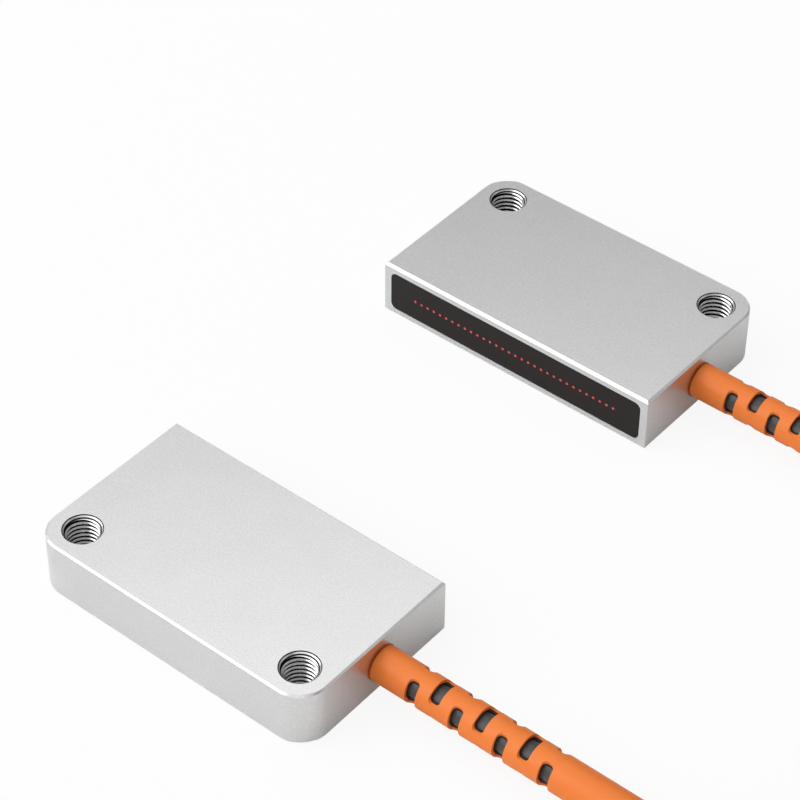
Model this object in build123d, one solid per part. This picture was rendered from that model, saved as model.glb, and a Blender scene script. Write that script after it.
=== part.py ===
# Through-beam fibre optic array sensor: a pair of flat aluminium heads that face each other.
# Each head holds a row of fibre ends behind a black window in its optical face, and its cable
# leaves through a slotted strain relief in one side. The two heads are the same part: the
# receiver lies one way up, and the emitter is the receiver turned over, so that both cables
# leave on the same side.
#
# Frame: X runs along the fibre rows, Y from the emitter to the receiver, Z up. The origin is
# the middle of the sensing gap, on the surface that the heads lie on. Sizes are millimetres.
from build123d import *
import math
import os

os.makedirs("parts", exist_ok=True)

# Cable and strain relief
cable_diameter = 2.2
cable_sides = 12
boot_clearance = 0.05
boot_wall = 0.4
boot_length = 25.0
boot_end_chamfer = 0.2
boot_lip = 0.3
boot_flange_thickness = 0.8
boot_seat_clearance = 0.04
slot_count = 7
slot_first = 3.95
slot_pitch = 2.07
slot_width = 1.0
slot_corner_cut = 0.25
slot_web = 1.35
slot_overshoot = 0.5

# Fibres
fibre_count = 32
fibre_diameter = 0.25
fibre_sides = 6
fibre_row_end_gap = 1.3
fan_run = 2.45
bundle_rows = (4, 6, 6, 6, 6, 4)
bundle_clearance = 0.01

# Head
head_width = 28.0
sensing_gap = 26.4
window_frame_side = 0.7
window_frame_height = 0.7
window_corner_radius = 0.6
window_recess = 0.05
block_depth = 4.5
block_fit = 0.04
groove_angle = 60.0
groove_clearance = 0.01
shoulder = 0.6
flange_room = 0.1
cavity_rear_room = 0.6
rear_wall = 6.45
rear_corner_radius = 2.5
edge_chamfer = 0.2

# Fixing holes, tapped M3 right through
thread_diameter = 3.0
hole_inset = 2.8
hole_mouth_chamfer = 0.17

# Cable on the surface, its end and its coil
straight_after_boot = 5.0
surface_x = 52.0
emitter_surface_y = -24.2
receiver_surface_y = 14.6
surface_clearance = 0.05
arc_share = 0.45
coil_x = 70.0
emitter_coil_y = -8.0
receiver_coil_y = 30.0
ferrule_length = 12.0
ferrule_wall = 0.2
bundle_end_length = 3.0
coil_layers = 5
coil_columns = 5
coil_sides = 36
coil_mean_radius = 12.1
ferrule_ring_radius = 13.0
ferrule_angle = 127.5
tie_width = 3.0
tie_thickness = 0.4
tie_angle = 200.0

# Worked out from the sizes above
cable_radius = cable_diameter / 2
boot_bore_radius = cable_radius + boot_clearance
boot_radius = boot_bore_radius + boot_wall
flange_radius = boot_radius + boot_lip
window_height = 2 * (flange_radius + flange_room)
head_height = window_height + 2 * window_frame_height
mid_height = head_height / 2
window_width = head_width - 2 * window_frame_side
bar_height = window_height - 2 * block_fit
clamp_rise = fibre_diameter / 2 + groove_clearance
cavity_width = window_width - 2 * shoulder
bundle_pitch = fibre_diameter + bundle_clearance
bundle_half = bundle_pitch * (len(bundle_rows) - 1) / 2
cable_from_front = block_depth + fan_run + bundle_half
cavity_depth = cable_from_front + flange_radius + cavity_rear_room
cavity_corner_radius = cavity_rear_room - flange_room
head_depth = cavity_depth + rear_wall
front_y = sensing_gap / 2
rear_y = front_y + head_depth
cable_y = front_y + cable_from_front
cable_start_x = cavity_width / 2 - boot_flange_thickness
boot_end_x = head_width / 2 + boot_length
row_half = cable_start_x - fibre_row_end_gap
fibre_pitch = 2 * row_half / (fibre_count - 1)
hole_x = head_width / 2 - hole_inset
hole_y = rear_y - hole_inset
slot_reach = boot_radius + slot_overshoot
coil_half_section = coil_columns * cable_diameter / 2
coil_outer_radius = coil_mean_radius + coil_half_section
coil_inner_radius = coil_mean_radius - coil_half_section
coil_height = coil_layers * cable_diameter
coil_entry_radius = coil_outer_radius - cable_radius
coil_top = tie_thickness + coil_height
ferrule_radius = cable_radius + ferrule_wall
ferrule_bore_radius = cable_radius - ferrule_wall

# Cable routes past the strain reliefs, down to the surface and as far as the outer turns
bend_x = boot_end_x + straight_after_boot
surface_z = cable_radius + surface_clearance
coil_bite = coil_entry_radius - cable_radius
cable_end_x = coil_x - math.sqrt(coil_outer_radius ** 2 - coil_bite ** 2)
cable_end_z = tie_thickness + cable_radius
emitter_route = [
    (cable_start_x, -cable_y, mid_height),
    (bend_x, -cable_y, mid_height),
    (surface_x, emitter_surface_y, surface_z),
    (cable_end_x, emitter_coil_y - coil_entry_radius, cable_end_z),
]
receiver_route = [
    (cable_start_x, cable_y, mid_height),
    (bend_x, cable_y, mid_height),
    (surface_x, receiver_surface_y, surface_z),
    (cable_end_x, receiver_coil_y - coil_entry_radius, cable_end_z),
]


def turned_over(piece):
    """The same piece on the emitter, which is the receiver turned over about X."""
    return piece.rotate(Axis((0, 0, mid_height), (1, 0, 0)), 180)


def make_housing():
    """One milled aluminium block: square optical face, two round rear corners."""
    block = Pos(0, (front_y + rear_y) / 2, mid_height) * Box(head_width, head_depth, head_height)
    rear_edges = block.edges().filter_by(Axis.Z).group_by(Axis.Y)[-1]
    block = fillet(rear_edges, rear_corner_radius)
    rims = block.faces().filter_by(Axis.Z).edges()
    block = chamfer(rims, edge_chamfer)

    face = Plane((0, front_y, mid_height), x_dir=(1, 0, 0), z_dir=(0, -1, 0))
    window = face * RectangleRounded(window_width, window_height, window_corner_radius)
    block -= extrude(window, -block_depth)
    deep_face = face.offset(-block_depth)
    rear_part = cavity_depth - block_depth
    cavity = extrude(deep_face * Rectangle(cavity_width, window_height), -rear_part)
    back_edges = cavity.edges().filter_by(Axis.Z).group_by(Axis.Y)[-1]
    block -= fillet(back_edges, cavity_corner_radius)

    cable_axis = Plane((0, cable_y, mid_height), x_dir=(0, 1, 0), z_dir=(1, 0, 0))
    bore = cable_axis * Circle(boot_radius + boot_seat_clearance)
    block -= extrude(bore, head_width)

    holes = [
        Pos(side * hole_x, hole_y, mid_height) * Cylinder(thread_diameter / 2, head_height)
        for side in (-1, 1)
    ]
    block -= holes
    mouths = block.edges().filter_by(
        lambda edge: edge.geom_type == GeomType.CIRCLE
        and abs(edge.radius - thread_diameter / 2) < hole_mouth_chamfer / 10
    )
    return chamfer(mouths, hole_mouth_chamfer)


def fibre_x(index):
    return (index - (fibre_count - 1) / 2) * fibre_pitch


def make_bar(bottom, top, grooves=()):
    """A bar that fills the window's width, between two heights from the row of fibres."""
    bar_width = window_width - 2 * block_fit
    start = Plane((0, front_y + window_recess, mid_height), x_dir=(1, 0, 0), z_dir=(0, -1, 0))
    outline = RectangleRounded(bar_width, bar_height, window_corner_radius - block_fit)
    band = Pos(0, (bottom + top) / 2) * Rectangle(bar_width, top - bottom)
    return extrude(start * ((outline & band) - list(grooves)), window_recess - block_depth)


def make_groove_block():
    """Black bar with one V groove for each fibre, open towards the clamp block."""
    half_angle = math.radians(groove_angle) / 2
    depth = clamp_rise / math.sin(half_angle)
    half_width = (clamp_rise + depth) * math.tan(half_angle)
    groove = Polygon((-half_width, clamp_rise), (0, -depth), (half_width, clamp_rise), align=None)
    grooves = [Pos(fibre_x(index), 0) * groove for index in range(fibre_count)]
    return make_bar(-bar_height / 2, clamp_rise, grooves)


def make_clamp_block():
    """Flat black bar that holds the fibres down in their grooves."""
    return make_bar(clamp_rise, bar_height / 2)


def bundle_places():
    """Row and height of each fibre in the bundle, the nearest fibre to the cable first."""
    places = []
    for row, fibres in enumerate(bundle_rows):
        for place in range(fibres):
            rise = (place - (fibres - 1) / 2) * bundle_pitch
            places.append((cable_y + row * bundle_pitch - bundle_half, mid_height + rise))
    return places


def make_fibres():
    """Every fibre runs back from the optical face, fans out to its row, then joins the bundle.

    A fibre is drawn with six sides, its corners on the round of the real one.
    """
    strands = []
    for index, (row_y, height) in enumerate(reversed(bundle_places())):
        x = fibre_x(index)
        start = (x, front_y + window_recess, mid_height)
        back = (x, front_y + block_depth + fibre_diameter, mid_height)
        knee = (x, row_y, height)
        end = (cable_start_x, row_y, height)
        path = Polyline(start, back, knee, end)
        strand = RegularPolygon(fibre_diameter / 2, fibre_sides, rotation=180 / fibre_sides)
        section = Plane(start, x_dir=(1, 0, 0), z_dir=(0, 1, 0)) * strand
        strands.append(sweep(section, path=path, transition=Transition.RIGHT))
    return Compound(children=strands)


def make_boot():
    """Moulded strain relief: a sleeve with rings of slots, each ring a quarter turn on."""
    cable_axis = Plane((0, cable_y, mid_height), x_dir=(0, 1, 0), z_dir=(1, 0, 0))
    start_x = cable_start_x
    neck = extrude(cable_axis.offset(start_x) * Circle(boot_radius), boot_end_x - start_x)
    tip = neck.edges().filter_by(GeomType.CIRCLE).sort_by(Axis.X)[-1]
    neck = chamfer(tip, boot_end_chamfer)
    flange = extrude(cable_axis.offset(start_x) * Circle(flange_radius), boot_flange_thickness)
    boot = neck + flange
    boot -= extrude(cable_axis.offset(start_x) * Circle(boot_bore_radius), boot_end_x - start_x)

    web_half = slot_web / 2
    slot_length = slot_reach - web_half
    outline = Rectangle(slot_width, slot_length)
    corners = outline.vertices().group_by(Axis.Y)[0]
    outline = chamfer(corners, slot_corner_cut)
    for index in range(slot_count):
        x = head_width / 2 + slot_first + index * slot_pitch
        cutter = extrude(Pos(0, web_half + slot_length / 2) * outline, slot_reach, both=True)
        quarter = 90 if index % 2 else 0
        for turn in (0, 180):
            boot -= Pos(x, cable_y, mid_height) * Rot(quarter + turn, 0, 0) * cutter
    return boot


def make_cable(route):
    """Straight runs joined by tangent arcs, each arc as large as its two runs allow.

    The jacket is drawn with flats, their corners on its round.
    """
    points = [Vector(*point) for point in route]
    runs = [end - start for start, end in zip(points, points[1:])]
    radii = []
    for before, after in zip(runs, runs[1:]):
        half_turn = math.radians(before.get_angle(after)) / 2
        radii.append(arc_share * min(before.length, after.length) / math.tan(half_turn))
    path = FilletPolyline(*points, radius=radii)
    jacket = RegularPolygon(cable_radius, cable_sides)
    section = Plane(points[0], x_dir=(0, 1, 0), z_dir=(1, 0, 0)) * jacket
    tube = sweep(section, path=path)
    drawn = jacket.area * path.length
    print("arc radii", [round(radius, 1) for radius in radii])
    print("tube volume over section times length", round(tube.volume / drawn, 4))
    print("tube length", round(path.length, 1))
    return tube


def make_coil(centre_y):
    """The outer shape of the wound cable, lying on its tie, with flats for its round sides."""
    outside = RegularPolygon(coil_outer_radius, coil_sides)
    inside = RegularPolygon(coil_inner_radius, coil_sides, major_radius=False)
    return Pos(coil_x, centre_y, tie_thickness) * extrude(outside - inside, coil_height)


def make_tie(centre_y):
    """A flat strap round the coil at one place, drawn tight across the coil's inner curve."""
    inner_x = math.sqrt(coil_inner_radius ** 2 - (tie_width / 2) ** 2)
    reach = coil_outer_radius - inner_x
    outside = Box(reach + 2 * tie_thickness, tie_width, coil_height + 2 * tie_thickness)
    strap = outside - Box(reach, tie_width, coil_height)
    strap = Pos((coil_outer_radius + inner_x) / 2, 0, tie_thickness + coil_height / 2) * strap
    return Pos(coil_x, centre_y, 0) * Rot(0, 0, tie_angle) * strap


def ferrule_plane(centre_y):
    """The ferrule's axis, from the cable's end outwards: a chord on top of the coil."""
    angle = math.radians(ferrule_angle)
    outward = Vector(math.cos(angle), math.sin(angle), 0)
    along = Vector(-math.sin(angle), math.cos(angle), 0)
    middle = Vector(coil_x, centre_y, coil_top + ferrule_radius) + outward * ferrule_ring_radius
    return Plane(middle - along * (ferrule_length / 2), x_dir=outward, z_dir=along)


def make_ferrule(centre_y):
    """Metal sleeve on the cable's end, with the polished bundle in its mouth."""
    axis = ferrule_plane(centre_y)
    body = extrude(axis * Circle(ferrule_radius), ferrule_length)
    seat = axis.offset(ferrule_length - bundle_end_length)
    return body - extrude(seat * Circle(ferrule_bore_radius), bundle_end_length)


def make_bundle_end(centre_y):
    seat = ferrule_plane(centre_y).offset(ferrule_length - bundle_end_length)
    return extrude(seat * Circle(ferrule_bore_radius), bundle_end_length)


receiver = {
    "housing": make_housing(),
    "groove_block": make_groove_block(),
    "clamp_block": make_clamp_block(),
    "fibres": make_fibres(),
    "boot": make_boot(),
}
pieces = {}
for name, piece in receiver.items():
    pieces["receiver_" + name] = piece
    pieces["emitter_" + name] = turned_over(piece)

for head, route, centre_y in (
    ("emitter", emitter_route, emitter_coil_y),
    ("receiver", receiver_route, receiver_coil_y),
):
    pieces[head + "_cable"] = make_cable(route)
    pieces[head + "_cable_coil"] = make_coil(centre_y)
    pieces[head + "_coil_tie"] = make_tie(centre_y)
    pieces[head + "_end_ferrule"] = make_ferrule(centre_y)
    pieces[head + "_end_bundle"] = make_bundle_end(centre_y)

print("head", head_width, "x", round(head_depth, 2), "x", round(head_height, 2))
print("fibre pitch", round(fibre_pitch, 4), "cable from front", round(cable_from_front, 3))
for name, piece in sorted(pieces.items()):
    export_step(piece, os.path.join("parts", name + ".step"))
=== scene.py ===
import math

import bmesh
import bpy
from mathutils import Matrix, Vector


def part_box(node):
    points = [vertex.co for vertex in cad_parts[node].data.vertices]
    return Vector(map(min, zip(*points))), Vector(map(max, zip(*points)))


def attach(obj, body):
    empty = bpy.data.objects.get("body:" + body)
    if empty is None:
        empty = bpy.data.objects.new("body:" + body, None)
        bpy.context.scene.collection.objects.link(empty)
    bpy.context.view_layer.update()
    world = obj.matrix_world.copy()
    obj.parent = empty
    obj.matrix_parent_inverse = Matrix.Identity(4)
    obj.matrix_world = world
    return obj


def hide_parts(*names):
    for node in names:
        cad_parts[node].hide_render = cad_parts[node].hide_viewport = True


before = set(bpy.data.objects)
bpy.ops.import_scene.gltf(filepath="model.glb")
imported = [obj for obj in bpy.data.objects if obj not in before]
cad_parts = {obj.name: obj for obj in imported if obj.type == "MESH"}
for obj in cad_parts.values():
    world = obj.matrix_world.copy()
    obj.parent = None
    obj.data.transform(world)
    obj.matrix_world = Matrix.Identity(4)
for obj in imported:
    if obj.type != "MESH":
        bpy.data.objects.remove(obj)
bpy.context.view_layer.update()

# Everything is in metres. X runs along the fibre rows, Y from the emitter to the receiver, Z up.
millimetre = 0.001
heads = ("emitter", "receiver")


# Camera

cameraSettings = {
    "place": (0.104414, -0.129608, 0.158816),
    "azimuth": 39.238,   # degrees, 0 looks along +Y
    "downward": 42.440,
    "roll": 0.506,
    "lens": 125.19,
    "sensorWidth": 36.0,
    "nearest": 0.005,
    "furthest": 20.0,
}


def placeCamera(settings):
    data = bpy.data.cameras.new("camera")
    data.sensor_width = settings["sensorWidth"]
    data.lens = settings["lens"]
    data.clip_start = settings["nearest"]
    data.clip_end = settings["furthest"]
    camera = bpy.data.objects.new("camera", data)
    turn = Matrix.Rotation(math.radians(settings["azimuth"]), 4, "Z")
    tilt = Matrix.Rotation(math.radians(90 - settings["downward"]), 4, "X")
    roll = Matrix.Rotation(math.radians(settings["roll"]), 4, "Z")
    camera.matrix_world = Matrix.Translation(settings["place"]) @ turn @ tilt @ roll
    bpy.context.scene.collection.objects.link(camera)
    bpy.context.scene.camera = camera


placeCamera(cameraSettings)
print("camera placed")


# Cords: straight out of the head and its boot, down to the surface, then a neat coil

cordSettings = {
    "diameter": 0.0022,
    "length": 2.0,
    "roundness": 6,        # bevel resolution
    "stepsPerPoint": 6,
    "pointsPerTurn": 16,
    "firstLayer": 0.0015,  # height of the lowest turns' middle
    "outerTurn": 0.0165,   # radius at the middle of the outermost turn
    "columns": 5,
    "turns": (5, 5, 5, 5, 4),
    "jogStart": 0.80,      # share of a turn where the cord starts to move to its next place
    "coilX": 0.070,
}
cordRoutes = {
    "emitter": {
        "points": (
            (0.0119, -0.0208, 0.00265),
            (0.0352, -0.0208, 0.00265),
            (0.0440, -0.0208, 0.00265),
            (0.0520, -0.0242, 0.00115),
            (0.0615, -0.0245, 0.0015),
        ),
        "coilY": -0.008,
        "exit": (0.014, -0.0208, 0.00265),
    },
    "receiver": {
        "points": (
            (0.0119, 0.0208, 0.00265),
            (0.0338, 0.0208, 0.00265),
            (0.0440, 0.0208, 0.00265),
            (0.0520, 0.0146, 0.00115),
            (0.0615, 0.0135, 0.0015),
        ),
        "coilY": 0.030,
        "exit": (0.014, 0.0208, 0.00265),
    },
}
# The last stretch rises from the top layer's free innermost place, crosses the turns on top of
# the coil and enters the ferrule: degrees round the coil, radius and height
cordTail = (
    (-72, 0.0077, 0.0103),
    (-50, 0.0078, 0.0111),
    (-28, 0.0084, 0.0121),
    (-8, 0.0095, 0.0126),
    (12, 0.0111, 0.0127),
    (30, 0.0129, 0.0127),
    (46, 0.0145, 0.0127),
    (60, 0.0156, 0.0127),
    (75, 0.0163, 0.0127),
    (92.8, 0.01581, 0.0127),
    (102.7, 0.01432, 0.0127),
    (104.6, 0.01411, 0.0127),
)


def eased(share):
    # 0 to 1 with a soft start and end
    share = min(max(share, 0.0), 1.0)
    return share * share * (3 - 2 * share)


def coilPlaces(settings):
    # Radius and height of each turn, in the order in which it is wound
    places = []
    for layer, count in enumerate(settings["turns"]):
        columns = list(range(settings["columns"]))
        if layer % 2:
            columns.reverse()
        height = settings["firstLayer"] + layer * settings["diameter"]
        for column in columns[:count]:
            places.append((settings["outerTurn"] - column * settings["diameter"], height))
    return places


def coilPoints(settings, coilY):
    perTurn = settings["pointsPerTurn"]
    outset = 1 / math.cos(math.pi / perTurn)  # a spline runs inside its points
    places = coilPlaces(settings)
    points = []
    for index, (radius, height) in enumerate(places):
        nextRadius, nextHeight = places[min(index + 1, len(places) - 1)]
        for step in range(perTurn):
            share = step / perTurn
            moved = eased((share - settings["jogStart"]) / (1 - settings["jogStart"]))
            here = (radius + (nextRadius - radius) * moved) * outset
            angle = math.radians(-90) + 2 * math.pi * share
            points.append((
                settings["coilX"] + here * math.cos(angle),
                coilY + here * math.sin(angle),
                height + (nextHeight - height) * moved,
            ))
    for degrees, radius, height in cordTail:
        angle = math.radians(degrees)
        points.append((
            settings["coilX"] + radius * math.cos(angle),
            coilY + radius * math.sin(angle),
            height,
        ))
    return points


def makeCord(head):
    route = cordRoutes[head]
    points = list(route["points"]) + coilPoints(cordSettings, route["coilY"])
    curve = bpy.data.curves.new(head + "_cord", "CURVE")
    curve.dimensions = "3D"
    curve.bevel_depth = 1.0  # the points carry the radius, so that the cord's box is true
    curve.bevel_resolution = cordSettings["roundness"]
    curve.resolution_u = cordSettings["stepsPerPoint"]
    curve.use_fill_caps = True
    spline = curve.splines.new("NURBS")
    spline.points.add(len(points) - 1)
    for point, place in zip(spline.points, points):
        point.co = (*place, 1.0)
        point.radius = cordSettings["diameter"] / 2
    spline.order_u = 3
    spline.use_endpoint_u = True
    cord = bpy.data.objects.new(head + "_cord", curve)
    bpy.context.scene.collection.objects.link(cord)
    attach(cord, "root")
    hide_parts(head + "_cable", head + "_cable_coil")
    return cord


cords = {head: makeCord(head) for head in heads}
print("cords laid")


# Shader nodes

class Wire:
    # A socket that takes part in plain sums, each of which adds its Math node

    def __init__(self, finish, socket):
        self.finish = finish
        self.socket = socket

    def sum(self, operation, first, second):
        return self.finish.add("ShaderNodeMath", {"operation": operation}, {0: first, 1: second})

    def __add__(self, other):
        return self.sum("ADD", self, other)

    def __radd__(self, other):
        return self.sum("ADD", other, self)

    def __sub__(self, other):
        return self.sum("SUBTRACT", self, other)

    def __rsub__(self, other):
        return self.sum("SUBTRACT", other, self)

    def __mul__(self, other):
        return self.sum("MULTIPLY", self, other)

    def __rmul__(self, other):
        return self.sum("MULTIPLY", other, self)


class Finish:
    # A material, or the world, and its nodes

    def __init__(self, owner):
        self.owner = owner
        owner.use_nodes = True
        self.tree = owner.node_tree

    def add(self, kind, settings=None, inputs=None, output=0):
        node = self.tree.nodes.new(kind)
        for name, value in (settings or {}).items():
            setattr(node, name, value)
        self.feed(node, inputs or {})
        return Wire(self, node.outputs[output])

    def feed(self, node, inputs):
        for name, value in inputs.items():
            if isinstance(value, Wire):
                self.tree.links.new(value.socket, node.inputs[name])
            else:
                node.inputs[name].default_value = value

    def spots(self, scale, detail=2.0, roughness=0.5, stretch=(1, 1, 1)):
        # Noise fixed to the piece; scale is in spots per metre
        place = self.add("ShaderNodeTexCoord", output="Object")
        placed = self.add("ShaderNodeMapping", None, {"Vector": place, "Scale": stretch})
        return self.add("ShaderNodeTexNoise", None, {
            "Vector": placed, "Scale": scale, "Detail": detail, "Roughness": roughness,
        })

    def own(self, attribute):
        # A number that the piece's own points carry
        return self.add("ShaderNodeAttribute", {"attribute_name": attribute}, output=2)

    def share(self, number, edges):
        # 0 below the first edge, 1 above the last and a soft step between them
        first, last = edges
        return self.add("ShaderNodeMapRange", {"interpolation_type": "SMOOTHSTEP"}, {
            "Value": number, "From Min": first, "From Max": last,
        })

    def between(self, share, first, second):
        # From the first colour at 0 to the second at 1
        return self.add(
            "ShaderNodeMix", {"data_type": "RGBA"}, {0: share, 6: first, 7: second}, output=2
        )

    def spread(self, middle, noise, width):
        # A number that wanders round its middle with the noise
        return middle + (noise - 0.5) * width

    def bump(self, height, settings):
        return self.add("ShaderNodeBump", None, {
            "Height": height,
            "Strength": settings["bumpStrength"],
            "Distance": settings["bumpDistance"],
        })


def surfaceFinish(name, settings):
    # The dictionary's fixed part sets the shader's own sockets
    finish = Finish(bpy.data.materials.new(name))
    finish.surface = finish.tree.nodes["Principled BSDF"]
    finish.feed(finish.surface, settings["fixed"])
    return finish


def grey(value):
    return (value, value, value, 1.0)


# Bead-blasted, clear anodised aluminium

aluminiumSettings = {
    "fixed": {"Metallic": 1.0},
    "light": (0.92, 0.92, 0.918, 1.0),
    "dark": (0.54, 0.54, 0.538, 1.0),
    "grain": {"scale": 7200.0, "detail": 3.0, "roughness": 0.6},
    "patches": {"scale": 260.0},
    "grainShare": 0.9,    # the rest of the tone comes from the patches
    "roughness": 0.34,
    "roughnessSpread": 0.12,
    "bumpStrength": 0.22,
    "bumpDistance": 0.00002,
}


def makeAluminium(settings):
    finish = surfaceFinish("satin_aluminium", settings)
    grain = finish.spots(**settings["grain"])
    patches = finish.spots(**settings["patches"])
    tone = grain * settings["grainShare"] + patches * (1 - settings["grainShare"])
    finish.feed(finish.surface, {
        "Base Color": finish.between(tone, settings["dark"], settings["light"]),
        "Roughness": finish.spread(settings["roughness"], grain, settings["roughnessSpread"]),
        "Normal": finish.bump(grain, settings),
    })
    return finish.owner


# Bare machined metal in the tapped holes, with painted shade, near black, in the roots of the
# threads and on the wall between the ridges

threadMetalSettings = {
    "fixed": {"Metallic": 1.0},
    "light": (0.92, 0.92, 0.92, 1.0),
    "dark": (0.76, 0.76, 0.76, 1.0),
    # painted shade: the near-black colour of the thread roots
    "root": (0.012, 0.012, 0.012, 1.0),
    "edge": (0.42, 0.66),   # shares of the ridge's height between which the painted shade in the roots ends
    "toolMarks": {"scale": 5000.0, "detail": 3.0, "roughness": 0.55, "stretch": (1, 1, 4)},
    "roughness": 0.26,
    "roughnessSpread": 0.10,
    "rootRoughness": 0.30,
}


def makeThreadMetal(settings):
    finish = surfaceFinish("machined_thread", settings)
    marks = finish.spots(**settings["toolMarks"])
    # the crest mark sets where the painted shade of the roots gives way to bare metal
    unshadedShare = finish.share(finish.own("crest"), settings["edge"])
    metal = finish.between(marks, settings["dark"], settings["light"])
    roughness = finish.spread(settings["roughness"], marks, settings["roughnessSpread"])
    finish.feed(finish.surface, {
        "Base Color": finish.between(unshadedShare, settings["root"], metal),
        "Roughness": roughness + (1 - unshadedShare) * settings["rootRoughness"],
    })
    return finish.owner


# Lapped black face of the fibre block

windowSettings = {
    "fixed": {"Specular IOR Level": 0.12},
    "light": (0.026, 0.021, 0.021, 1.0),
    "dark": (0.018, 0.014, 0.014, 1.0),
    "grain": {"scale": 7000.0, "detail": 3.0, "roughness": 0.6},
    "roughness": 0.42,
    "roughnessSpread": 0.14,
}


def makeWindowBlack(settings):
    finish = surfaceFinish("black_potting", settings)
    grain = finish.spots(**settings["grain"])
    finish.feed(finish.surface, {
        "Base Color": finish.between(grain, settings["dark"], settings["light"]),
        "Roughness": finish.spread(settings["roughness"], grain, settings["roughnessSpread"]),
    })
    return finish.owner


# Fibre, red, with a painted glow: a faint emission of its own colour

fibreSettings = {
    # painted glow: the fibre shines by a faint emission of its own colour
    "fixed": {"Roughness": 0.15, "Coat Weight": 0.4, "Emission Strength": 0.12},
    "core": (0.72, 0.050, 0.036, 1.0),
    "rim": (0.52, 0.040, 0.034, 1.0),
    "cells": {"scale": 14000.0, "detail": 1.0},
}


def makeFibreRed(settings):
    finish = surfaceFinish("glowing_fibre", settings)
    cells = finish.spots(**settings["cells"])
    red = finish.between(cells, settings["rim"], settings["core"])
    finish.feed(finish.surface, {"Base Color": red, "Emission Color": red})
    return finish.owner


# Moulded orange strain relief, with painted shade, near black, on the inner part of its wall
# round the bore and in the relief groove

bootFinishSettings = {
    "fixed": {
        "Specular IOR Level": 0.35,
        "Subsurface Weight": 0.06,
        "Subsurface Radius": (0.0006, 0.0003, 0.0001),
        "Subsurface Scale": 1.0,
    },
    "light": (0.90, 0.230, 0.036, 1.0),
    "dark": (0.80, 0.185, 0.026, 1.0),
    # painted shade: the near-black colour of the wall round the bore
    "boreShade": (0.020, 0.013, 0.010, 1.0),
    "boreShadeEnds": (0.42, 0.56),   # shares of the wall, from the bore, where the painted shade ends
    "grain": {"scale": 3500.0, "detail": 3.0, "roughness": 0.6},
    "flow": {"scale": 120.0, "stretch": (0.35, 1, 1)},
    "grainShare": 0.35,           # the rest of the tone comes from the flow of the plastic
    "roughness": 0.46,
    "roughnessSpread": 0.10,
    "bumpStrength": 0.10,
    "bumpDistance": 0.00002,
}


def makeBootOrange(settings):
    finish = surfaceFinish("orange_boot", settings)
    grain = finish.spots(**settings["grain"])
    flow = finish.spots(**settings["flow"])
    tone = grain * settings["grainShare"] + flow * (1 - settings["grainShare"])
    # orange is the share of the wall outside the painted shade round the bore
    orange = finish.share(finish.own("wall"), settings["boreShadeEnds"])
    skin = finish.between(tone, settings["dark"], settings["light"])
    finish.feed(finish.surface, {
        "Base Color": finish.between(orange, settings["boreShade"], skin),
        "Roughness": finish.spread(settings["roughness"], grain, settings["roughnessSpread"]),
        "Normal": finish.bump(grain, settings),
    })
    return finish.owner


# Extruded dark grey jacket

jacketSettings = {
    "fixed": {"Specular IOR Level": 0.5},
    "light": (0.066, 0.066, 0.065, 1.0),
    "dark": (0.046, 0.046, 0.046, 1.0),
    "grain": {"scale": 5200.0, "detail": 3.0, "roughness": 0.6},
    "roughness": 0.42,
    "roughnessSpread": 0.12,
    "bumpStrength": 0.08,
    "bumpDistance": 0.00002,
}


def makeJacketGrey(settings):
    finish = surfaceFinish("grey_jacket", settings)
    grain = finish.spots(**settings["grain"])
    finish.feed(finish.surface, {
        "Base Color": finish.between(grain, settings["dark"], settings["light"]),
        "Roughness": finish.spread(settings["roughness"], grain, settings["roughnessSpread"]),
        "Normal": finish.bump(grain, settings),
    })
    return finish.owner


# Turned ferrule

ferruleSettings = {
    "fixed": {"Metallic": 1.0},
    "light": (0.74, 0.73, 0.71, 1.0),
    "dark": (0.58, 0.57, 0.56, 1.0),
    "rings": {"scale": 9000.0},
    "roughness": 0.28,
    "roughnessSpread": 0.12,
}


def makeFerruleMetal(settings):
    finish = surfaceFinish("ferrule_metal", settings)
    rings = finish.spots(**settings["rings"])
    finish.feed(finish.surface, {
        "Base Color": finish.between(rings, settings["dark"], settings["light"]),
        "Roughness": finish.spread(settings["roughness"], rings, settings["roughnessSpread"]),
    })
    return finish.owner


# Woven tie strap: two crossed sets of threads

strapSettings = {
    "fixed": {"Roughness": 0.85, "Sheen Weight": 0.2},
    "light": (0.060, 0.060, 0.062, 1.0),
    "dark": (0.018, 0.018, 0.019, 1.0),
    "waveScale": 900.0,
    "waveDistortion": 0.4,
    "directions": ("Z", "DIAGONAL"),
    "bumpStrength": 0.6,
    "bumpDistance": 0.00004,
}


def makeStrapWeave(settings):
    finish = surfaceFinish("strap_weave", settings)
    place = finish.add("ShaderNodeTexCoord", output="Object")
    waves = []
    for direction in settings["directions"]:
        waves.append(finish.add("ShaderNodeTexWave", {"bands_direction": direction}, {
            "Vector": place,
            "Scale": settings["waveScale"],
            "Distortion": settings["waveDistortion"],
        }, output=1))
    weave = waves[0] * waves[1]
    finish.feed(finish.surface, {
        "Base Color": finish.between(weave, settings["dark"], settings["light"]),
        "Normal": finish.bump(weave, settings),
    })
    return finish.owner


aluminium = makeAluminium(aluminiumSettings)
threadMetal = makeThreadMetal(threadMetalSettings)
windowBlack = makeWindowBlack(windowSettings)
fibreRed = makeFibreRed(fibreSettings)
bootOrange = makeBootOrange(bootFinishSettings)
jacketGrey = makeJacketGrey(jacketSettings)
ferruleMetal = makeFerruleMetal(ferruleSettings)
strapWeave = makeStrapWeave(strapSettings)
print("materials made")


# Help for all new pieces

sharpAngle = math.radians(32)
weldDistance = 0.001 * millimetre


def flatPlate(shape, width, height):
    bmesh.ops.create_grid(shape, x_segments=1, y_segments=1, size=0.5)
    bmesh.ops.scale(shape, verts=shape.verts, vec=(width, height, 1))


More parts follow.
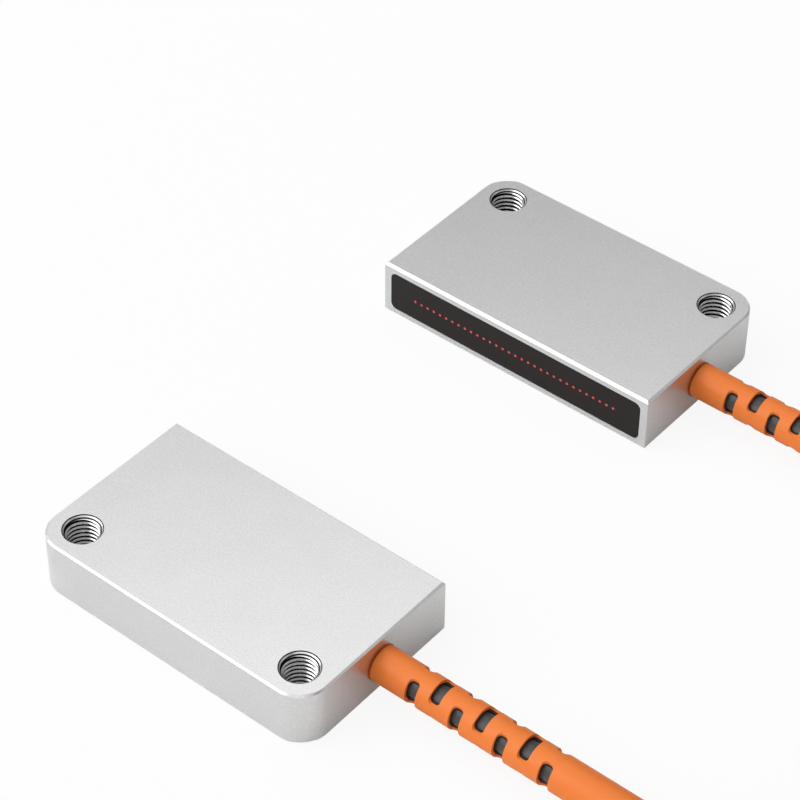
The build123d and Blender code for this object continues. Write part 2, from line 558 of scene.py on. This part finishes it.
def roundCorners(shape, corners, radius, steps):
    bmesh.ops.bevel(
        shape, geom=corners, affect="VERTICES", offset=radius, offset_type="OFFSET",
        segments=steps, profile=0.5, material=-1,
    )


def thicken(shape, thickness):
    # Draws all faces up along Z
    grown = bmesh.ops.extrude_face_region(shape, geom=list(shape.faces))
    moved = [item for item in grown["geom"] if isinstance(item, bmesh.types.BMVert)]
    bmesh.ops.translate(shape, verts=moved, vec=(0, 0, thickness))


def shadeByAngle(shape):
    for face in shape.faces:
        face.smooth = True
    for edge in shape.edges:
        edge.smooth = edge.calc_face_angle(0.0) < sharpAngle


def markPoints(shape, attribute, worth):
    # Gives each point a number that a material can read
    layer = shape.verts.layers.float.new(attribute)
    for vert in shape.verts:
        vert[layer] = worth(vert.co)


def finishPiece(name, shape, material, evenNormals=False):
    # Turns a bmesh into a piece that rides on the part
    mesh = bpy.data.meshes.new(name)
    shape.to_mesh(mesh)
    shape.free()
    if "custom_normal" in mesh.attributes:
        mesh.attributes.remove(mesh.attributes["custom_normal"])
    piece = bpy.data.objects.new(name, mesh)
    bpy.context.scene.collection.objects.link(piece)
    mesh.materials.clear()
    mesh.materials.append(material)
    if evenNormals:
        weights = piece.modifiers.new("even_normals", "WEIGHTED_NORMAL")
        weights.keep_sharp = True
    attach(piece, "root")
    return piece


def smoothTwin(node, material, change=None):
    # The solid's own mesh, welded, so that its round faces shade as round
    shape = bmesh.new()
    shape.from_mesh(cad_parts[node].data)
    bmesh.ops.remove_doubles(shape, verts=shape.verts, dist=weldDistance)
    if change:
        change(shape)
    shadeByAngle(shape)
    twin = finishPiece(node + "_body", shape, material, True)
    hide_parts(node)
    return twin


def dressNode(node, material):
    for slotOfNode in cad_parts[node].material_slots:
        slotOfNode.material = material


# Heads

headSettings = {
    "chamfer": 0.20 * millimetre,
    "chamferKept": 0.70,   # share of the chamfer's width that the finished edge keeps
    "reach": 0.02 * millimetre,
}


def sharpenRims(shape):
    # Draws the chamfers round the top and the bottom face in towards the corner
    settings = headSettings
    low = Vector(min(vert.co[axis] for vert in shape.verts) for axis in range(3))
    high = Vector(max(vert.co[axis] for vert in shape.verts) for axis in range(3))
    moves = []
    for edge in shape.edges:
        one, other = edge.verts
        for flat, side in ((one, other), (other, one)):
            onFace = min(flat.co.z - low.z, high.z - flat.co.z) < settings["reach"]
            rise = abs(flat.co.z - side.co.z)
            run = (flat.co - side.co).xy.length
            if onFace and abs(rise - settings["chamfer"]) < settings["reach"]:
                if abs(run - settings["chamfer"]) < settings["reach"]:
                    moves.append((flat, side, side.co - flat.co))
    drawn = 1 - settings["chamferKept"]
    done = set()
    for flat, side, way in moves:
        if flat not in done:
            flat.co += Vector((way.x, way.y, 0)) * drawn
            done.add(flat)
        if side not in done:
            side.co -= Vector((0, 0, way.z)) * drawn
            done.add(side)


for head in heads:
    smoothTwin(head + "_housing", aluminium, sharpenRims)
    dressNode(head + "_groove_block", windowBlack)
    dressNode(head + "_clamp_block", windowBlack)
    dressNode(head + "_fibres", fibreRed)
print("heads dressed")


# Threads of the tapped holes: a ridge wound up the wall of each

threadSettings = {
    "wallRadius": 1.5 * millimetre,
    "sunk": 0.02 * millimetre,       # how far the ridge's foot reaches into the wall
    "crestRadius": 1.31 * millimetre,
    "pitch": 0.43 * millimetre,
    "rootFlat": 0.06 * millimetre,
    "crestFlat": 0.08 * millimetre,
    "rimRadius": 1.67 * millimetre,
    "overrun": 0.08 * millimetre,    # the ridge runs this far past the faces, before it is cut
    "hidden": 0.01 * millimetre,     # how far the cut turns lie behind the countersinks
    "holeX": 11.2 * millimetre,
    "inset": 2.8 * millimetre,       # from the head's rear face
    "stepsPerTurn": 48,
    "linerRadius": 1.494 * millimetre,
    "linerSides": 96,
    "rimShadeLine": 0.07 * millimetre,    # width of the line of painted shade round each mouth
    "rimLift": 0.006 * millimetre,
}


def windRidge(shape, bottom, top, settings):
    # The ridge's section, wound up round the Z axis
    pitch = settings["pitch"]
    footHalf = (pitch - settings["rootFlat"]) / 2
    crestHalf = settings["crestFlat"] / 2
    foot = settings["wallRadius"] + settings["sunk"]
    corners = [
        shape.verts.new((radius, 0, height))
        for radius, height in (
            (foot, -footHalf),
            (settings["crestRadius"], -crestHalf),
            (settings["crestRadius"], crestHalf),
            (foot, footHalf),
        )
    ]
    loop = [shape.edges.new((corners[i - 1], corners[i])) for i in range(len(corners))]
    length = top - bottom + 2 * settings["overrun"] - pitch
    turns = length / pitch
    steps = round(turns * settings["stepsPerTurn"])
    start = bottom - settings["overrun"] + pitch / 2
    bmesh.ops.translate(shape, verts=shape.verts, vec=(0, 0, start))
    bmesh.ops.spin(
        shape, geom=corners + loop, cent=(0, 0, 0), axis=(0, 0, 1), dvec=(0, 0, length / steps),
        angle=2 * math.pi * turns, steps=steps,
    )
    bmesh.ops.holes_fill(shape, edges=[edge for edge in shape.edges if edge.is_boundary], sides=4)


def cutByCountersinks(shape, bottom, top, settings):
    # The countersinks cut the first and the last turn
    hidden = settings["hidden"]
    for vert in shape.verts:
        vert.co.z = min(max(vert.co.z, bottom + hidden), top - hidden)
        depth = min(vert.co.z - bottom, top - vert.co.z)
        radius = vert.co.xy.length
        least = settings["rimRadius"] + hidden - depth
        if radius < least:
            vert.co.x *= least / radius
            vert.co.y *= least / radius
    bmesh.ops.recalc_face_normals(shape, faces=shape.faces)


def lineBore(shape, bottom, top, settings):
    # The wall between the ridges and the dark line of painted shade round each mouth, both facing
    # the axis; their crest mark puts both in the roots' painted shade
    shadeLine, liner = settings["rimShadeLine"], settings["linerRadius"]
    outer = settings["rimRadius"] - settings["rimLift"]
    inset = settings["rimRadius"] - liner
    rings = [
        (liner, liner, top - bottom - 2 * inset, (bottom + top) / 2),
        (outer, outer - shadeLine, shadeLine, bottom + shadeLine / 2),
        (outer - shadeLine, outer, shadeLine, top - shadeLine / 2),
    ]
    wall = set()
    for lower, upper, depth, middle in rings:
        grown = bmesh.ops.create_cone(
            shape, cap_ends=False, segments=settings["linerSides"], radius1=lower, radius2=upper,
            depth=depth, matrix=Matrix.Translation((0, 0, middle)),
        )
        wall.update(face for vert in grown["verts"] for face in vert.link_faces)
    bmesh.ops.reverse_faces(shape, faces=list(wall))


def makeThread(name, holeX, holeY, bottom, top, settings):
    shape = bmesh.new()
    windRidge(shape, bottom, top, settings)
    cutByCountersinks(shape, bottom, top, settings)
    lineBore(shape, bottom, top, settings)
    foot = settings["wallRadius"] + settings["sunk"]
    span = foot - settings["crestRadius"]
    markPoints(shape, "crest", lambda place: (foot - place.xy.length) / span)
    bmesh.ops.translate(shape, verts=shape.verts, vec=(holeX, holeY, 0))
    shadeByAngle(shape)
    return finishPiece(name, shape, threadMetal)


for head in heads:
    low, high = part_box(head + "_housing")
    inset = threadSettings["inset"]
    holeY = high.y - inset if head == "receiver" else low.y + inset
    for side, sign in (("left", -1), ("right", 1)):
        makeThread(
            head + "_thread_" + side, sign * threadSettings["holeX"], holeY, low.z, high.z,
            threadSettings,
        )
print("threads cut")


# Window: lapped adhesive face, and the round ends of the fibres in it

windowFaceSettings = {
    "cornerRadius": 0.56 * millimetre,
    "cornerSteps": 8,
    "thickness": 0.03 * millimetre,
    "fibres": 32,
    "rowLength": 21.2 * millimetre,  # from the first fibre's middle to the last one's
    "fibreRadius": 0.135 * millimetre,
    "tipShare": 0.9,                 # the tip's radius as a share of the foot's
    "fibreProud": 0.012 * millimetre,
    "fibreSides": 20,
}


def makeWindow(head, settings):
    lowBlock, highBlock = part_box(head + "_groove_block")
    lowClamp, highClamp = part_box(head + "_clamp_block")
    low = Vector(min(pair) for pair in zip(lowBlock, lowClamp))
    high = Vector(max(pair) for pair in zip(highBlock, highClamp))
    towards = -1 if head == "receiver" else 1  # the way the face looks along Y
    faceY = low.y if head == "receiver" else high.y
    upright = Matrix.Rotation(math.radians(90 * -towards), 4, "X")
    place = Matrix.Translation((0, faceY, (low.z + high.z) / 2)) @ upright

    plate = bmesh.new()
    flatPlate(plate, high.x - low.x, high.z - low.z)
    roundCorners(plate, list(plate.verts), settings["cornerRadius"], settings["cornerSteps"])
    thicken(plate, settings["thickness"])
    bmesh.ops.transform(plate, matrix=place, verts=plate.verts)
    bmesh.ops.recalc_face_normals(plate, faces=plate.faces)
    shadeByAngle(plate)
    finishPiece(head + "_window_face", plate, windowBlack)

    ends = bmesh.new()
    depth = settings["thickness"] + settings["fibreProud"]
    foot = settings["fibreRadius"]
    gaps = settings["fibres"] - 1
    for index in range(settings["fibres"]):
        x = (index - gaps / 2) * settings["rowLength"] / gaps
        bmesh.ops.create_cone(
            ends, cap_ends=True, segments=settings["fibreSides"], radius1=foot,
            radius2=foot * settings["tipShare"], depth=depth,
            matrix=Matrix.Translation((x, 0, depth / 2)),
        )
    bmesh.ops.transform(ends, matrix=place, verts=ends.verts)
    bmesh.ops.recalc_face_normals(ends, faces=ends.faces)
    shadeByAngle(ends)
    finishPiece(head + "_fibre_ends", ends, fibreRed)


for head in heads:
    makeWindow(head, windowFaceSettings)
print("windows faced")


# Boots: a turned sleeve with rings of round-cornered slots, each ring a quarter turn on

bootSettings = {
    "radius": 1.55 * millimetre,
    "boreRadius": 1.15 * millimetre,
    "flangeRadius": 1.85 * millimetre,
    "flangeThickness": 0.8 * millimetre,
    "endRound": 0.3 * millimetre,
    "endSteps": 5,
    "grooveWidth": 0.12 * millimetre,  # relief where the boot meets the head
    # the groove's floor lies in the bore's painted shade, so it renders dark
    "grooveRadius": 1.33 * millimetre,
    "around": 128,
    "slots": 7,
    "slotFirst": 3.95 * millimetre,  # from the head's side
    "slotPitch": 2.07 * millimetre,
    "slotWidth": 1.0 * millimetre,
    "slotCorner": 0.38 * millimetre,
    "cornerSteps": 6,
    "web": 1.35 * millimetre,
    "reach": 2.4 * millimetre,
    "weld": 0.0005 * millimetre,       # closes the seams that the cut leaves
}


def turnedSleeve(shape, length, grooveStart, settings):
    # The sleeve along X from the origin
    grooveEnd = grooveStart + settings["grooveWidth"]
    outline = [
        (0, settings["boreRadius"]),
        (0, settings["flangeRadius"]),
        (settings["flangeThickness"], settings["flangeRadius"]),
        (settings["flangeThickness"], settings["radius"]),
        (grooveStart, settings["radius"]),
        (grooveStart, settings["grooveRadius"]),
        (grooveEnd, settings["grooveRadius"]),
        (grooveEnd, settings["radius"]),
        (length, settings["radius"]),
        (length, settings["boreRadius"]),
    ]
    verts = [shape.verts.new((x, 0, radius)) for x, radius in outline]
    for index in range(len(verts)):
        shape.edges.new((verts[index - 1], verts[index]))
    roundCorners(shape, [verts[-2]], settings["endRound"], settings["endSteps"])
    bmesh.ops.spin(
        shape, geom=list(shape.verts) + list(shape.edges), cent=(0, 0, 0), axis=(1, 0, 0),
        angle=2 * math.pi, steps=settings["around"], use_merge=True,
    )
    bmesh.ops.remove_doubles(shape, verts=shape.verts, dist=weldDistance)
    bmesh.ops.recalc_face_normals(shape, faces=shape.faces)


def slotCutters(start, settings):
    # Every slot of one boot as a block; the inner corners of each are round
    cutters = bmesh.new()
    depth = settings["reach"] - settings["web"] / 2
    for index in range(settings["slots"]):
        for turn in (0, 180):
            block = bmesh.new()
            flatPlate(block, settings["slotWidth"], depth)
            inner = [vert for vert in block.verts if vert.co.y < 0]
            roundCorners(block, inner, settings["slotCorner"], settings["cornerSteps"])
            thicken(block, 2 * settings["reach"])
            bmesh.ops.translate(
                block, verts=block.verts,
                vec=(0, settings["web"] / 2 + depth / 2, -settings["reach"]),
            )
            quarter = 90 if index % 2 else 0
            place = (
                Matrix.Translation((start + index * settings["slotPitch"], 0, 0))
                @ Matrix.Rotation(math.radians(quarter + turn), 4, "X")
            )
            bmesh.ops.transform(block, matrix=place, verts=block.verts)
            bmesh.ops.recalc_face_normals(block, faces=block.faces)
            spare = bpy.data.meshes.new("slot")
            block.to_mesh(spare)
            block.free()
            cutters.from_mesh(spare)
            bpy.data.meshes.remove(spare)
    return cutters


def plainObject(name, shape):
    mesh = bpy.data.meshes.new(name)
    shape.to_mesh(mesh)
    shape.free()
    plain = bpy.data.objects.new(name, mesh)
    bpy.context.scene.collection.objects.link(plain)
    return plain


def cutAway(name, body, cutters):
    # The body's shape less the cutters', as a new bmesh
    bodyObject = plainObject(name, body)
    cutterObject = plainObject(name + "_cutters", cutters)
    cut = bodyObject.modifiers.new("cut", "BOOLEAN")
    cut.operation = "DIFFERENCE"
    cut.solver = "EXACT"
    cut.object = cutterObject
    bpy.context.view_layer.update()
    evaluated = bodyObject.evaluated_get(bpy.context.evaluated_depsgraph_get())
    result = bmesh.new()
    result.from_mesh(evaluated.to_mesh())
    evaluated.to_mesh_clear()
    for spare in (bodyObject, cutterObject):
        data = spare.data
        bpy.data.objects.remove(spare)
        bpy.data.meshes.remove(data)
    return result


def makeBoot(head, settings):
    low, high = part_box(head + "_boot")
    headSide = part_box(head + "_housing")[1].x
    sleeve = bmesh.new()
    turnedSleeve(sleeve, high.x - low.x, headSide - low.x, settings)
    cutters = slotCutters(headSide - low.x + settings["slotFirst"], settings)
    shape = cutAway(head + "_sleeve", sleeve, cutters)
    middle = (low + high) / 2
    wall = settings["radius"] - settings["boreRadius"]
    markPoints(shape, "wall", lambda place: (place.yz.length - settings["boreRadius"]) / wall)
    bmesh.ops.translate(shape, verts=shape.verts, vec=(low.x, middle.y, middle.z))
    bmesh.ops.remove_doubles(shape, verts=shape.verts, dist=settings["weld"])
    shadeByAngle(shape)
    boot = finishPiece(head + "_strain_relief", shape, bootOrange)
    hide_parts(head + "_boot")
    return boot


boots = {head: makeBoot(head, bootSettings) for head in heads}
print("boots moulded")


# Coil ties: a strap round the coil's section

tieSettings = {
    "innerRadius": 6.6 * millimetre,
    "outerRadius": 17.6 * millimetre,
    "coilBottom": 0.4 * millimetre,
    "coilHeight": 11.0 * millimetre,
    "thickness": 0.4 * millimetre,
    "width": 3.0 * millimetre,
    "cornerRadius": 1.2 * millimetre,
    "cornerSteps": 5,
    "angle": 200.0,       # degrees round the coil
    "edgeRound": 0.08 * millimetre,
    "edgeSteps": 2,
    "rimAngle": 60.0,     # edges that bend by more degrees than this are rounded
}


def makeTie(head, settings):
    innerX = math.sqrt(settings["innerRadius"] ** 2 - (settings["width"] / 2) ** 2)
    reach = settings["outerRadius"] - innerX + 2 * settings["thickness"]
    height = settings["coilHeight"] + 2 * settings["thickness"]
    shape = bmesh.new()
    flatPlate(shape, reach, height)
    roundCorners(shape, list(shape.verts), settings["cornerRadius"], settings["cornerSteps"])
    bmesh.ops.inset_region(shape, faces=list(shape.faces), thickness=settings["thickness"])
    inside = [face for face in shape.faces if not any(edge.is_boundary for edge in face.edges)]
    bmesh.ops.delete(shape, geom=inside, context="FACES")
    thicken(shape, settings["width"])
    bmesh.ops.translate(shape, verts=shape.verts, vec=(0, 0, -settings["width"] / 2))
    bmesh.ops.recalc_face_normals(shape, faces=shape.faces)
    rimAngle = math.radians(settings["rimAngle"])
    rims = [edge for edge in shape.edges if edge.calc_face_angle(0.0) > rimAngle]
    bmesh.ops.bevel(
        shape, geom=rims, affect="EDGES", offset=settings["edgeRound"], offset_type="OFFSET",
        segments=settings["edgeSteps"], profile=0.5, material=-1,
    )
    middle = (innerX + settings["outerRadius"]) / 2
    place = (
        Matrix.Translation((cordSettings["coilX"], cordRoutes[head]["coilY"], 0))
        @ Matrix.Rotation(math.radians(settings["angle"]), 4, "Z")
        @ Matrix.Translation((middle, 0, settings["coilBottom"] + settings["coilHeight"] / 2))
        @ Matrix.Rotation(math.radians(90), 4, "X")
    )
    bmesh.ops.transform(shape, matrix=place, verts=shape.verts)
    shadeByAngle(shape)
    tie = finishPiece(head + "_strap", shape, strapWeave)
    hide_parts(head + "_coil_tie")
    return tie


ties = {head: makeTie(head, tieSettings) for head in heads}

for head in heads:
    cords[head].data.materials.append(jacketGrey)
    ferrule = smoothTwin(head + "_end_ferrule", ferruleMetal)
    bundle = smoothTwin(head + "_end_bundle", fibreRed)
print("cords finished")


# Floor, world and lamps

stageSettings = {
    "floorSize": 6.0,
    "floorColour": (0.86, 0.86, 0.86, 1.0),
    "whiteShare": 0.90,       # how much of the floor the camera sees as plain white
    "glossyShare": 0.04,
    "skyBack": 0.33,
    "skyFront": 0.22,
    "skyAbove": 0.95,
    "frontEdge": (0.45, 0.85),   # shares of the way from back to front: the front sky comes in
    "aboveEdge": (0.92, 0.985),  # heights of the direction: the sky above comes in
}
lampSettings = {
    "key": {"place": (-0.45, -0.40, 0.45), "size": (0.85, 0.85), "power": 5.6},
    "top": {"place": (-0.22, 0.24, 0.62), "size": (0.48, 0.48), "power": 0.81},
    "strip": {"place": (0.27, -0.46, 0.46), "size": (0.85, 0.14), "power": 0.66},
    "edge": {"place": (0.51, 0.33, 0.34), "size": (0.30, 0.30), "power": 0.13},
}


def makeFloor(settings):
    finish = Finish(bpy.data.materials.new("floor"))
    finish.tree.nodes.remove(finish.tree.nodes["Principled BSDF"])
    output = finish.tree.nodes["Material Output"]
    diffuse = finish.add("ShaderNodeBsdfDiffuse", None, {"Color": settings["floorColour"]})
    white = finish.add("ShaderNodeEmission", None, {"Color": grey(1.0), "Strength": 1.0})
    camera = finish.add("ShaderNodeLightPath", output="Is Camera Ray")
    glossy = finish.add("ShaderNodeLightPath", output="Is Glossy Ray")
    through = finish.add("ShaderNodeLightPath", output="Is Transmission Ray")
    share = camera * settings["whiteShare"] + (glossy + through) * settings["glossyShare"]
    surface = finish.add("ShaderNodeMixShader", None, {0: share, 1: diffuse, 2: white})
    finish.feed(output, {"Surface": surface})
    shape = bmesh.new()
    bmesh.ops.create_grid(shape, x_segments=1, y_segments=1, size=settings["floorSize"] / 2)
    floor = plainObject("floor", shape)
    floor.data.materials.append(finish.owner)


def makeWorld(settings):
    world = bpy.data.worlds.new("studio")
    bpy.context.scene.world = world
    finish = Finish(world)
    background = finish.tree.nodes["Background"]
    direction = finish.add("ShaderNodeTexCoord", output="Generated")
    depth = finish.add("ShaderNodeSeparateXYZ", None, {0: direction}, output=1)
    height = finish.add("ShaderNodeSeparateXYZ", None, {0: direction}, output=2)
    front = finish.share((1 - depth) * 0.5, settings["frontEdge"])
    above = finish.share(height, settings["aboveEdge"])
    sky = finish.between(front, grey(settings["skyBack"]), grey(settings["skyFront"]))
    sky = finish.between(above, sky, grey(settings["skyAbove"]))
    camera = finish.add("ShaderNodeLightPath", output="Is Camera Ray")
    finish.feed(background, {"Color": finish.between(camera, sky, grey(1.0)), "Strength": 1.0})


def makeLamp(name, settings):
    data = bpy.data.lights.new(name, "AREA")
    data.shape = "RECTANGLE"
    data.size, data.size_y = settings["size"]
    data.energy = settings["power"]
    lamp = bpy.data.objects.new(name, data)
    place = Vector(settings["place"])
    aim = (-place).to_track_quat("-Z", "Y")
    lamp.matrix_world = Matrix.Translation(place) @ aim.to_matrix().to_4x4()
    bpy.context.scene.collection.objects.link(lamp)


makeFloor(stageSettings)
makeWorld(stageSettings)
for name, settings in lampSettings.items():
    makeLamp(name, settings)
bpy.context.scene.view_settings.view_transform = "Standard"
print("stage lit")

bpy.context.view_layer.update()
